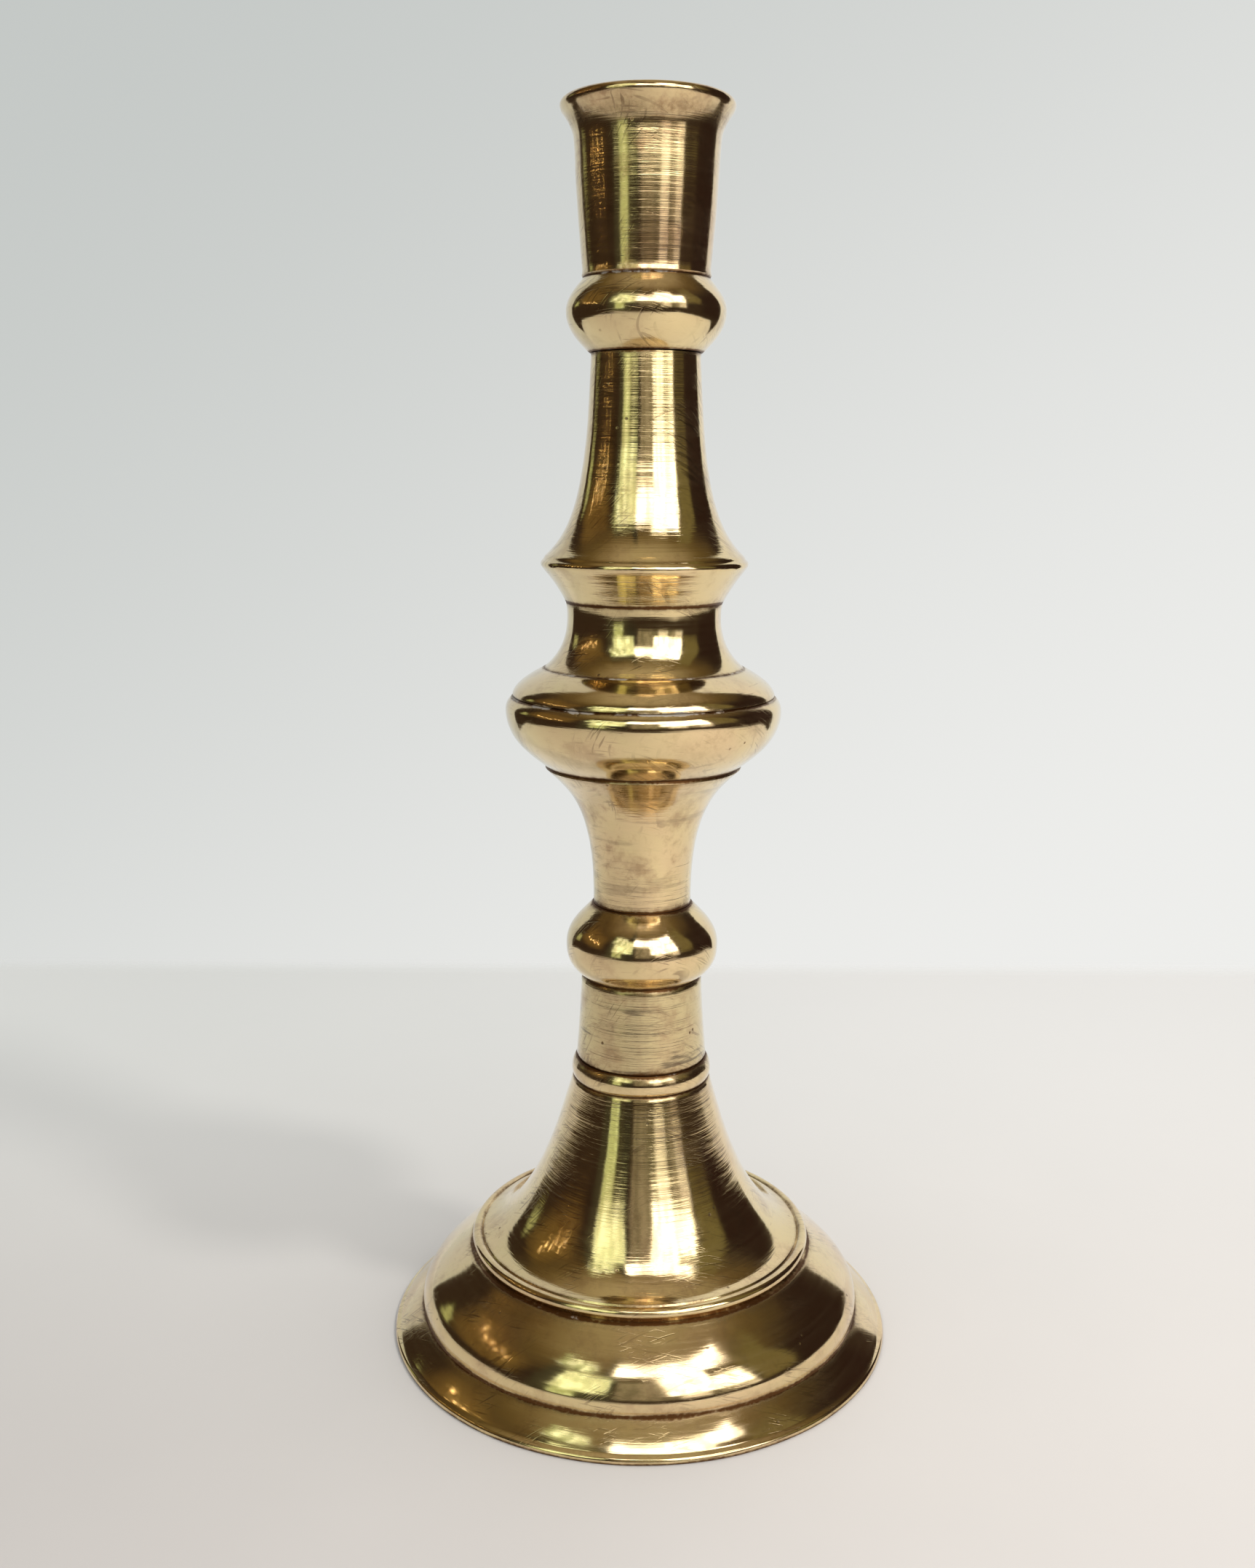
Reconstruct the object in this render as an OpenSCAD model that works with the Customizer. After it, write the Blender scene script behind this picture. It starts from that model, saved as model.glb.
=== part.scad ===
// Turned brass candlestick: twelve brass pieces stacked on one steel tie rod,
// held by a clamp plate, washer and nut inside the foot.
// Millimetres, +Z up, origin at the centre of the foot on the table.

/* [Candle cup] */
// Height of the rim above the table
total_h = 300; // [297:0.5:304]
// Bore that takes the candle
candle_d = 23.2; // [20:0.1:25]
// Height of the floor of the bore
cup_floor_z = 270; // [267:0.5:278]
// Height where the bore starts to flare
cup_flare_z = 290; // [284:0.5:291]
// Radius of the rounded lip
lip_r = 1.4; // [1:0.1:1.6]
// Outside radius across the lip
lip_out_r = 19.9; // [19:0.1:21]
// Outside radius of the cup just under the flare
cup_r = 16.6; // [16:0.1:17]

/* [Seams] */
// Socket on upper knop
seam_socket = 261.6; // [260:0.1:263]
// Upper knop on stem
seam_knop = 245.2; // [243:0.1:247]
// Stem on waist
seam_stem = 187.7; // [186:0.1:189]
// Waist on bulb cap
seam_waist = 171.9; // [171:0.1:174]
// Bulb cap on bulb
seam_cap = 165.1; // [164:0.1:166]
// Bulb on trumpet
seam_bulb = 148.4; // [146:0.1:150]
// Trumpet on lower knop
seam_trumpet = 113.2; // [112:0.1:115]
// Lower knop on neck
seam_lower_knop = 94.7; // [93:0.1:96]
// Neck on its bead
seam_neck = 73; // [72:0.1:75]
// Bead on bell
seam_bead = 67.8; // [66:0.1:69]
// Bell on foot
seam_bell = 23; // [22.5:0.1:24]

/* [Turned shapes] */
// Widest radius of the upper knop
upper_knop_r = 18.6; // [17:0.1:20]
// Edge radius of the stem flange
flange_r = 24.8; // [24:0.1:27]
// Narrowest radius of the stem
stem_r = 12.75; // [11.5:0.05:13]
// Widest radius of the bulb
bulb_r = 33.4; // [33:0.1:36]
// Narrowest radius of the trumpet
trumpet_r = 12.1; // [11.5:0.1:12.2]
// Widest radius of the lower knop
lower_knop_r = 18.9; // [18:0.1:20]
// Outside radius of the bead round the bell
bell_bead_r = 43.4; // [42.6:0.1:44]
// Outside radius of the foot
foot_r = 63.7; // [62:0.1:66]

/* [Fixings] */
// Tie rod thread diameter
rod_d = 8; // [6:1:8]
// Radial play between thread and nut
thread_play = 0.05; // [0.02:0.01:0.1]
// Clearance hole for the rod in each casting
rod_hole_d = 8.6; // [8.3:0.1:9.6]
// Hexagon nut across the flats
nut_af = 13; // [12:1:15]
// Nut height
nut_h = 6.5; // [5:0.5:7]
// Washer outside diameter
washer_d = 16; // [14:1:20]
// Washer thickness
washer_t = 1.6; // [1:0.1:2]
// Clamp plate diameter
plate_d = 92; // [82:1:92]
// Clamp plate thickness
plate_t = 3; // [2:0.5:3]
// Height of the ledge the clamp plate bears on
ledge_z = 17.5; // [17:0.5:18]

/* [Hidden] */
$fn = 96;
rod_r = rod_d / 2;
hole_r = rod_hole_d / 2;
bore_r = candle_d / 2;
rod_end_z = 3;
tip = 0.8;
spigot_h = 2;
recess_h = spigot_h + 0.1;
reg_gap = 0.05;
chamfer = 0.3;
core_r = 9.5;
cup_spigot_r = 9;
knop_spigot_r = 8;
stem_spigot_r = 12;
waist_spigot_r = 16;
cap_spigot_r = 24;
bulb_spigot_r = 14;
neck_spigot_r = 9;
bead_spigot_r = 10;
bell_spigot_r = 11;
foot_hole_r = 39;
plate_z = ledge_z - plate_t;
washer_z = plate_z - washer_t;
nut_z = washer_z - nut_h;

// Points of a cubic curve from a to d, pulled by b and c.
function curve(a, b, c, d, n = 8) =
    [for (i = [0:n]) let (t = i / n, s = 1 - t)
        s*s*s*a + 3*s*s*t*b + 3*s*t*t*c + t*t*t*d];

// Points of an arc about [cr, cz], angles in degrees.
function arc(cr, cz, r, from, to, n = 6) =
    [for (i = [0:n]) let (a = from + (to - from) * i / n)
        [cr + r * cos(a), cz + r * sin(a)]];

// A spigot of radius rs below height z, with a hole of radius rh.
function spigot(z, rs, rh = hole_r) =
    [[rh, z - spigot_h], [rs - chamfer, z - spigot_h], [rs, z - spigot_h + chamfer], [rs, z]];

// The recess in a piece's top at height z that takes a spigot of radius rs.
function recess(z, rs, rh = hole_r) =
    [[rs + reg_gap, z], [rs + reg_gap, z - recess_h], [rh, z - recess_h]];

module turned(points) {
    rotate_extrude() polygon(points);
}

// Candle cup: flared rim, straight bore, floor tapped for the tie rod.
module socket() {
    tap_r = rod_r + thread_play;
    foot = seam_socket;
    rim = total_h;
    color("goldenrod")
    turned(concat(
        [[cup_spigot_r + reg_gap, foot], [14.6, foot], [15, foot + 0.5]],
        curve([14.85, foot + 1.7], [15.2, foot + 7.1], [16, foot + 13.8], [cup_r, rim - 11], 6),
        curve([cup_r + 0.15, rim - 9], [cup_r + 0.3, rim - 7.2],
              [cup_r + 0.7, rim - 5.2], [lip_out_r - 0.4, rim - 2.6], 5),
        arc(lip_out_r - lip_r, rim - lip_r, lip_r, -18, 180, 9),
        curve([16.2, rim - 3], [14.4, rim - 6], [bore_r, rim - 6.5], [bore_r, cup_flare_z], 6),
        [[bore_r, cup_floor_z], [tap_r, cup_floor_z],
         [tap_r, foot + recess_h], [cup_spigot_r + reg_gap, foot + recess_h]]));
}

// Rounded knop under the socket.
module upper_knop() {
    low = seam_knop;
    top = seam_socket;
    mid = low + 9.1;
    color("goldenrod")
    turned(concat(
        spigot(low, knop_spigot_r),
        curve([13.2, low], [17.6, low + 3.8], [upper_knop_r, mid - 2.6], [upper_knop_r, mid], 7),
        curve([upper_knop_r, mid + 0.4], [upper_knop_r - 0.3, mid + 3.4],
              [15.9, top - 1.7], [14.7, top], 7),
        [[cup_spigot_r, top], [cup_spigot_r, top + spigot_h], [hole_r, top + spigot_h]]));
}

// Slim stem that sweeps out to a thin flange, undercut below it and cored inside.
module upper_stem() {
    low = seam_stem;
    edge_r = 1.2;
    edge_z = low + 9;
    color("goldenrod")
    turned(concat(
        spigot(low, stem_spigot_r, core_r),
        curve([18.9, low], [20.2, low + 2.5], [22.3, low + 5.5], [flange_r - 0.8, edge_z - 1.5], 5),
        arc(flange_r - edge_r, edge_z, edge_r, -45, 60, 4),
        curve([flange_r - 1.1, edge_z + 1.9], [stem_r + 2.95, edge_z + 9],
              [stem_r + 1.15, edge_z + 21.7], [stem_r, seam_knop - chamfer], 14),
        recess(seam_knop, knop_spigot_r),
        [[hole_r, low + 32], [core_r, low + 16]]));
}

// Concave collar between the flange and the bulb, cored through.
module waist() {
    low = seam_waist;
    top = seam_stem;
    color("goldenrod")
    turned(concat(
        spigot(low, waist_spigot_r, core_r),
        curve([24.1, low], [18.6, low + 4.4], [17.9, top - 5.2], [18.8, top], 12),
        recess(top, stem_spigot_r, core_r)));
}

// Domed cap that closes the hollow bulb.
module bulb_cap() {
    low = seam_cap;
    wall = 4;
    color("goldenrod")
    turned(concat(
        [[hole_r, low], [cap_spigot_r - wall, low], [cap_spigot_r - wall, low - 2.5],
         [cap_spigot_r, low - 2.5], [cap_spigot_r, low], [31.3, low]],
        curve([31.7, low + 0.4], [30.4, low + 1.9], [29, seam_waist - 3], [24.1, seam_waist], 6),
        recess(seam_waist, waist_spigot_r)));
}

// Fat rounded disc, hollow inside.
module bulb() {
    low = seam_bulb;
    top = seam_cap;
    floor_t = 4.2;
    color("goldenrod")
    turned(concat(
        spigot(low, bulb_spigot_r),
        curve([24.1, low], [28.1, low + 3.2], [bulb_r - 0.5, low + 6.2], [bulb_r, top - 3.9], 9),
        curve([bulb_r, top - 3.2], [bulb_r, top - 1.5], [bulb_r - 1, top - 0.6], [31.7, top], 4),
        [[cap_spigot_r + reg_gap, top], [cap_spigot_r + reg_gap, top - 7],
         [16, low + floor_t], [hole_r, low + floor_t]]));
}

// Flared top under the bulb, narrowing to a slim column, cored from above.
module trumpet() {
    low = seam_trumpet;
    top = seam_bulb;
    mouth_r = bulb_spigot_r + reg_gap;
    color("goldenrod")
    turned(concat(
        spigot(low, knop_spigot_r),
        curve([trumpet_r, low], [trumpet_r, top - 10.4], [17.6, top - 7.1], [24, top - 0.8], 14),
        [[23.8, top], [mouth_r, top], [mouth_r, top - recess_h],
         [12, top - 5.4], [8, top - 16.4], [hole_r, top - 20.4]]));
}

// Rounded knop above the neck.
module lower_knop() {
    low = seam_lower_knop;
    top = seam_trumpet;
    mid = low + 7.4;
    color("goldenrod")
    turned(concat(
        spigot(low, neck_spigot_r),
        curve([14.6, low], [17.6, low + 1.9], [lower_knop_r, mid - 3.1], [lower_knop_r, mid], 7),
        curve([lower_knop_r, mid + 0.4], [lower_knop_r, mid + 4.9], [15.9, top - 3.8], [12.3, top], 8),
        recess(top, knop_spigot_r)));
}

// Slightly tapered cylinder.
module neck() {
    low = seam_neck;
    top = seam_lower_knop;
    color("goldenrod")
    turned(concat(
        spigot(low, bead_spigot_r),
        [[15.9, low], [16.3, low + 0.8], [15.4, low + 13.5], [15.05, top - 1], [14.5, top]],
        recess(top, neck_spigot_r)));
}

// Narrow raised band between two grooves.
module neck_bead() {
    low = seam_bead;
    top = seam_neck;
    color("goldenrod")
    turned(concat(
        spigot(low, bell_spigot_r),
        curve([17, low], [17.9, low + 1.2], [17.8, top - 1.6], [16.4, top], 6),
        recess(top, bead_spigot_r)));
}

// Tall concave cone that ends in a bead, hollow from below.
module bell() {
    low = seam_bell;
    top = seam_bead;
    bead_t = 1.4;
    lip_h = 4.5;
    spigot_r = foot_hole_r - reg_gap;
    inner_r = 35.4;
    color("goldenrod")
    turned(concat(
        [[spigot_r, low], [bell_bead_r - 0.8, low]],
        arc(bell_bead_r - bead_t, low + 1.7, bead_t, -50, 140, 7),
        curve([40.6, low + 3], [30.4, low + 6], [23.2, top - 22.2], [17.5, top - 0.6], 16),
        [[17.1, top]],
        recess(top, bell_spigot_r),
        curve([hole_r, top - 8.8], [15.5, top - 10.8], [19.5, low + 13], [inner_r, low + 1.6], 10),
        [[inner_r, low - lip_h], [spigot_r, low - lip_h]]));
}

// Heavy ring: rounded moulding, groove, sloping rim and thin upright edge.
module foot() {
    edge_r = 1.1;
    groove_r = 56.3;
    ledge_r = 46.6;
    tread_r = 58.5;
    top = seam_bell;
    color("goldenrod")
    turned(concat(
        [[tread_r, 0], [foot_r - 0.2, 0]],
        arc(foot_r - edge_r, 0.6, edge_r, -20, 60, 5),
        curve([foot_r - edge_r, 1.7], [foot_r - 3.3, 3.9], [58, 5.6], [groove_r, 6.8], 5),
        curve([groove_r - 0.1, 7.7], [57.4, 13], [49.6, top - 4.8], [44.2, top - 0.5], 12),
        [[43.2, top], [foot_hole_r, top], [foot_hole_r, ledge_z], [ledge_r, ledge_z]],
        curve([ledge_r, ledge_z - 0.6], [50, 15.8], [51.6, 12.6], [51.8, 8], 7),
        [[54.6, 4.6], [tread_r, 2.4]]));
}

// Threaded rod with a screwdriver slot in its top end.
module tie_rod() {
    top = cup_floor_z - 0.6;
    slot = [rod_d + 2, 1.2, 3];
    color("silver")
    difference() {
        turned([[0, rod_end_z], [rod_r - tip, rod_end_z], [rod_r, rod_end_z + tip],
                [rod_r, top - tip], [rod_r - tip, top], [0, top]]);
        translate([0, 0, top]) cube(slot, center = true);
    }
}

// Steel disc that bears on the ledge inside the foot.
module clamp_plate() {
    edge = plate_d / 2;
    color("silver")
    turned([[hole_r, plate_z], [edge - tip, plate_z], [edge, plate_z + tip],
            [edge, ledge_z], [hole_r, ledge_z]]);
}

// Hole that runs on the rod's thread, through a piece of height h.
module tapped(h) {
    difference() {
        children();
        translate([0, 0, -1]) cylinder(r = rod_r + thread_play, h = h + 2);
    }
}

// Plain washer under the plate.
module washer() {
    color("silver")
    translate([0, 0, washer_z])
    tapped(washer_t) cylinder(d = washer_d, h = washer_t);
}

// Hexagon nut with turned corners.
module nut() {
    flat_r = nut_af / 2;
    corner_r = flat_r / cos(30);
    bevel = 0.6;
    color("silver")
    translate([0, 0, nut_z])
    tapped(nut_h) intersection() {
        cylinder(r = corner_r, h = nut_h, $fn = 6);
        turned([[0, 0], [flat_r, 0], [corner_r, bevel], [corner_r, nut_h - bevel],
                [flat_r, nut_h], [0, nut_h]]);
    }
}

socket();
upper_knop();
upper_stem();
waist();
bulb_cap();
bulb();
trumpet();
lower_knop();
neck();
neck_bead();
bell();
foot();
tie_rod();
clamp_plate();
washer();
nut();
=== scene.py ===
"""Turned brass candlestick: its looks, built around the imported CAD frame.

Every length is in metres and in the frame's own axes. Outlines are written in
millimetres, as radius and height, and are turned about the candlestick's axis.
"""

import logging  # noqa: E402
import math  # noqa: E402
from dataclasses import dataclass, field  # noqa: E402
from enum import Enum  # noqa: E402
from typing import ClassVar, Sequence  # noqa: E402

import bmesh  # noqa: E402
import bpy  # noqa: E402
from mathutils import Matrix, Vector, noise  # noqa: E402


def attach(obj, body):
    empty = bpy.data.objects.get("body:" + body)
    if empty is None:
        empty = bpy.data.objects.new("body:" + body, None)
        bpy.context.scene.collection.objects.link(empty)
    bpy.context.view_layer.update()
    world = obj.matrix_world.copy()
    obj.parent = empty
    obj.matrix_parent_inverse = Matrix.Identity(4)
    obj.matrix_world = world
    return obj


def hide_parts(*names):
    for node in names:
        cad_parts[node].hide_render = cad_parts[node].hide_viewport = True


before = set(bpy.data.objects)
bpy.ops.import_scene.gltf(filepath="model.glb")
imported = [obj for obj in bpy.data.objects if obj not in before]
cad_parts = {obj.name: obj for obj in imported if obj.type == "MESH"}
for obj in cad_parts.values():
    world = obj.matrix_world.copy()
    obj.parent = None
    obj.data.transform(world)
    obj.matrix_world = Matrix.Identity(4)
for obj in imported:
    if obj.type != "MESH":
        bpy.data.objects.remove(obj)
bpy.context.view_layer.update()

LOG = logging.getLogger("candlestick")
MM = 0.001
TURN = 2 * math.pi
DEGREES = 360 / TURN
MIX_A, MIX_B, MIX_RESULT = 6, 7, 2

Point = tuple[float, float]
Colour = tuple[float, float, float]


class Slot(Enum):
    """Material slots of the record."""

    BRASS = "brass"
    STEEL = "steel"


class Body(Enum):
    """Body of the frame that the brass rides on."""

    STICK = "candlestick"


# ---------------------------------------------------------------- outlines


def curve(a: Point, b: Point, c: Point, d: Point, n: int = 24) -> list[Point]:
    """Points of a cubic curve.

    Args:
        a: Start point.
        b: First pull point.
        c: Second pull point.
        d: End point.
        n: Number of steps.

    Returns:
        n + 1 points from a to d.
    """
    out = []
    for i in range(n + 1):
        t = i / n
        s = 1 - t
        w = (s * s * s, 3 * s * s * t, 3 * s * t * t, t * t * t)
        out.append(tuple(w[0] * a[k] + w[1] * b[k] + w[2] * c[k] + w[3] * d[k] for k in (0, 1)))
    return out


def arc(centre: Point, radius: float, start: float, end: float, n: int = 10) -> list[Point]:
    """Points of a circular arc.

    Args:
        centre: Centre point.
        radius: Radius of the arc.
        start: First angle in degrees.
        end: Last angle in degrees.
        n: Number of steps.

    Returns:
        n + 1 points along the arc.
    """
    out = []
    for i in range(n + 1):
        a = math.radians(start + (end - start) * i / n)
        out.append((centre[0] + radius * math.cos(a), centre[1] + radius * math.sin(a)))
    return out


def line(a: Point, b: Point, n: int) -> list[Point]:
    """n + 1 evenly spaced points from a to b."""
    return [(a[0] + (b[0] - a[0]) * i / n, a[1] + (b[1] - a[1]) * i / n) for i in range(n + 1)]


def spigot(z: float, outer: float, hole: float) -> list[Point]:
    """Outline of the locating spigot below height z."""
    return [(hole, z - 2), (outer - 0.3, z - 2), (outer, z - 1.7), (outer, z)]


def recess(z: float, outer: float, hole: float) -> list[Point]:
    """Outline of the recess below height z that takes a spigot."""
    return [(outer + 0.05, z), (outer + 0.05, z - 2.1), (hole, z - 2.1)]


# ---------------------------------------------------------------- nodes


@dataclass
class Sheet:
    """Short forms for building a node tree."""

    tree: bpy.types.NodeTree

    def add(self, kind: str, **values: object) -> bpy.types.Node:
        """Adds a node and sets its properties and inputs.

        Args:
            kind: Node type name.
            **values: A property of the node, or an input socket by name with
                underscores for spaces.

        Returns:
            The new node.
        """
        node = self.tree.nodes.new(kind)
        for key, value in values.items():
            if hasattr(node, key) and key not in node.inputs:
                setattr(node, key, value)
            else:
                self.feed(node.inputs[key.replace("_", " ")], value)
        return node

    def feed(self, socket: bpy.types.NodeSocket, value: object) -> None:
        """Links a socket to another one, or gives it a constant."""
        if isinstance(value, bpy.types.NodeSocket):
            self.tree.links.new(value, socket)
        elif socket.type == "RGBA" and len(value) == 3:
            socket.default_value = (*value, 1.0)
        else:
            socket.default_value = value

    def math(self, how: str, *terms: object) -> bpy.types.NodeSocket:
        """Result of a Math node on one to three terms."""
        node = self.tree.nodes.new("ShaderNodeMath")
        node.operation = how
        for socket, term in zip(node.inputs, terms):
            self.feed(socket, term)
        return node.outputs[0]

    def times(self, *terms: object) -> bpy.types.NodeSocket:
        """Product of two or more terms."""
        out = terms[0]
        for term in terms[1:]:
            out = self.math("MULTIPLY", out, term)
        return out

    def total(self, *terms: object) -> bpy.types.NodeSocket:
        """Sum of two or more terms."""
        out = terms[0]
        for term in terms[1:]:
            out = self.math("ADD", out, term)
        return out

    def band(self, value: object, ends: tuple[float, float], soft: float) -> bpy.types.NodeSocket:
        """1 between the two ends, falling to 0 at each over this width."""
        low, high = ends
        return self.times(
            self.smooth(value, low, low + soft), self.smooth(value, high, high - soft)
        )

    def smooth(self, value: object, low: float, high: float) -> bpy.types.NodeSocket:
        """Smooth step of value from 0 at low to 1 at high; falling if high is below low."""
        flip = high < low
        node = self.tree.nodes.new("ShaderNodeMapRange")
        node.interpolation_type = "SMOOTHSTEP"
        self.feed(node.inputs["Value"], value)
        self.feed(node.inputs["From Min"], min(low, high))
        self.feed(node.inputs["From Max"], max(low, high))
        self.feed(node.inputs["To Min"], 1.0 if flip else 0.0)
        self.feed(node.inputs["To Max"], 0.0 if flip else 1.0)
        return node.outputs["Result"]

    def mix(self, factor: object, a: object, b: object) -> bpy.types.NodeSocket:
        """Colour a, or b where factor is 1."""
        node = self.tree.nodes.new("ShaderNodeMix")
        node.data_type = "RGBA"
        self.feed(node.inputs["Factor"], factor)
        self.feed(node.inputs[MIX_A], a)
        self.feed(node.inputs[MIX_B], b)
        return node.outputs[MIX_RESULT]

    def grain(
        self, where: object, scale: float, detail: float = 2.0, rough: float = 0.5
    ) -> bpy.types.NodeSocket:
        """Value of a noise texture."""
        node = self.add("ShaderNodeTexNoise", Scale=scale, Detail=detail, Roughness=rough)
        self.feed(node.inputs["Vector"], where)
        return node.outputs["Fac"]

    def stretched(
        self, where: object, scale: Sequence[float], turn: Sequence[float] = (0, 0, 0)
    ) -> bpy.types.NodeSocket:
        """Coordinates turned, then scaled per axis."""
        node = self.add("ShaderNodeMapping", vector_type="TEXTURE")
        self.feed(node.inputs["Vector"], where)
        node.inputs["Rotation"].default_value = turn
        node.inputs["Scale"].default_value = [1 / s for s in scale]
        return node.outputs["Vector"]


# ---------------------------------------------------------------- finishes


@dataclass(frozen=True)
class BrassFinish:
    """Old brass with tool rings, scratches, pits, a tarnish film, grimy grooves, painted shade in
    one joint gap and painted dark reflection streaks.
    """

    name: str
    shine: float
    brushed: float
    rings: float
    film: float
    gold: Colour = (0.84, 0.665, 0.345)
    copper: Colour = (0.84, 0.63, 0.35)
    tarnish: Colour = (0.40, 0.235, 0.11)
    patina_and_shade: Colour = (0.13, 0.058, 0.02)
    residue: Colour = (0.31, 0.265, 0.215)
    # painted dark reflections: strength and colour of dark streaks painted into the base colour
    painted_reflection: float = 0.0
    painted_reflection_colour: Colour = (0.15, 0.105, 0.05)

    def build(self) -> bpy.types.Material:
        """Makes the material.

        Returns:
            A material that reads the residue attribute and the patina attribute, which also
            carries painted shade.
        """
        made = bpy.data.materials.new(self.name)
        made.use_nodes = True
        s = Sheet(made.node_tree)
        shader = made.node_tree.nodes["Principled BSDF"]
        at = s.add("ShaderNodeTexCoord").outputs["Object"]
        patina_and_shade = s.add("ShaderNodeAttribute", attribute_name="patina_and_shade").outputs["Fac"]
        residue = s.add("ShaderNodeAttribute", attribute_name="residue").outputs["Fac"]

        rings = s.grain(s.stretched(at, (38, 38, 1500)), 1.0, 3.0, 0.6)
        fine = s.grain(s.stretched(at, (120, 120, 5200), (0.05, 0.02, 0)), 1.0, 2.0, 0.6)
        blotch = s.grain(at, 46.0, 4.0, 0.55)
        film = s.smooth(s.grain(at, 85.0, 6.0, 0.68), 0.47, 0.68)
        flecks = s.smooth(s.grain(s.stretched(at, (150, 150, 2100)), 1.0, 3.0, 0.7), 0.6, 0.74)
        flecks = s.times(flecks, s.smooth(s.grain(at, 60.0, 2.0), 0.42, 0.62))
        mottle = s.smooth(s.grain(at, 230.0, 5.0, 0.7), 0.5, 0.72)
        mottle = s.times(mottle, s.smooth(blotch, 0.35, 0.6))
        film = s.math("MAXIMUM", s.times(film, 0.65), s.times(mottle, 0.6))
        film = s.times(s.math("MAXIMUM", film, flecks), self.film)
        speck = s.grain(at, 900.0, 3.0, 0.6)
        worn = s.smooth(s.grain(at, 75.0, 3.0, 0.5), 0.46, 0.68)

        scratch_a = self._scratches(s, at, (420, 9000, 700), (0.5, 0.35, 0.6))
        scratch_b = self._scratches(s, at, (500, 700, 11000), (-0.45, 0.3, 0.2))
        scratches = s.times(s.math("MAXIMUM", scratch_a, scratch_b), worn)

        pit_cells = s.add("ShaderNodeTexVoronoi", feature="F1", Scale=330.0)
        s.feed(pit_cells.inputs["Vector"], at)
        pits = s.smooth(pit_cells.outputs["Distance"], 0.16, 0.07)
        pits = s.times(pits, s.smooth(s.grain(at, 120.0, 2.0), 0.6, 0.7))

        # dark mix for dirt in creases and pits, and for painted shade in the gap under the lower
        # knop
        grime_and_shade = s.times(patina_and_shade, s.total(s.times(speck, 1.1), 0.55))
        grime_and_shade = s.smooth(grime_and_shade, 0.18, 0.85)
        grime_and_shade = s.math("MAXIMUM", grime_and_shade, s.times(pits, 0.8))
        crumbs = s.smooth(s.grain(at, 105.0, 2.0), 0.36, 0.6)
        crumbs = s.times(s.grain(at, 650.0, 4.0, 0.7), crumbs, 2.0, residue)
        crumbs = s.smooth(crumbs, 0.36, 0.56)

        metal = s.mix(s.smooth(blotch, 0.4, 0.66), self.gold, self.copper)
        metal = s.mix(film, metal, self.tarnish)
        # painted dark reflections: horizontal dark streaks mixed into the metal's colour
        painted_reflection = s.smooth(s.grain(s.stretched(at, (48, 48, 330)), 1.0, 5.0, 0.62), 0.56, 0.66)
        metal = s.mix(s.times(painted_reflection, self.painted_reflection), metal, self.painted_reflection_colour)
        metal = s.mix(s.times(scratches, 0.5), metal, self.patina_and_shade)
        metal = s.mix(grime_and_shade, metal, self.patina_and_shade)
        s.feed(shader.inputs["Base Color"], s.mix(crumbs, metal, self.residue))
        s.feed(shader.inputs["Metallic"], s.math("SUBTRACT", 1.0, crumbs))

        lacquer = s.times(s.math("SUBTRACT", 1.0, grime_and_shade), 0.8)
        s.feed(shader.inputs["Coat Weight"], lacquer)
        shader.inputs["Coat IOR"].default_value = 1.6
        shader.inputs["Coat Roughness"].default_value = 0.07
        shader.inputs["Anisotropic"].default_value = self.brushed
        shader.inputs["Anisotropic Rotation"].default_value = 0.25
        around = s.add("ShaderNodeTangent", direction_type="RADIAL", axis="Z")
        s.feed(shader.inputs["Tangent"], around.outputs["Tangent"])
        rough = s.total(
            s.times(s.smooth(rings, 0.35, 0.8), 0.06),
            self.shine,
            s.times(worn, 0.045),
            s.times(film, 0.08),
            s.times(grime_and_shade, 0.33),
            s.times(crumbs, 0.3),
        )
        s.feed(shader.inputs["Roughness"], rough)

        height = s.total(
            s.times(rings, self.rings),
            s.times(fine, self.rings * 0.25),
            s.times(scratches, -0.5),
            s.times(pits, -1.6),
            s.times(crumbs, 2.5),
        )
        bump = s.add("ShaderNodeBump", Strength=0.5, Distance=0.00004, Height=height)
        s.feed(shader.inputs["Normal"], bump.outputs["Normal"])
        return made

    @staticmethod
    def _scratches(
        s: Sheet, at: object, scale: Sequence[float], turn: Sequence[float]
    ) -> bpy.types.NodeSocket:
        """Thin stray lines along one direction."""
        lines = s.grain(s.stretched(at, scale, turn), 0.24, 1.0, 0.4)
        return s.smooth(lines, 0.61, 0.66)


class Brass(Enum):
    """The states of the brass."""

    POLISHED = BrassFinish("polished_brass", 0.085, 0.3, 0.8, 0.6)
    TURNED = BrassFinish("turned_brass", 0.08, 0.5, 2.5, 0.7)
    BRUSHED = BrassFinish("brushed_brass", 0.12, 0.7, 4.0, 1.0, painted_reflection=0.28)
    STAINED = BrassFinish(
        "stained_brass", 0.10, 0.45, 2.6, 1.35, (0.76, 0.58, 0.30), (0.72, 0.50, 0.27)
    )
    DULL = BrassFinish(
        "dull_brass", 0.10, 0.5, 3.5, 1.0, (0.74, 0.60, 0.31), (0.70, 0.53, 0.28), painted_reflection=0.8
    )


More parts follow.
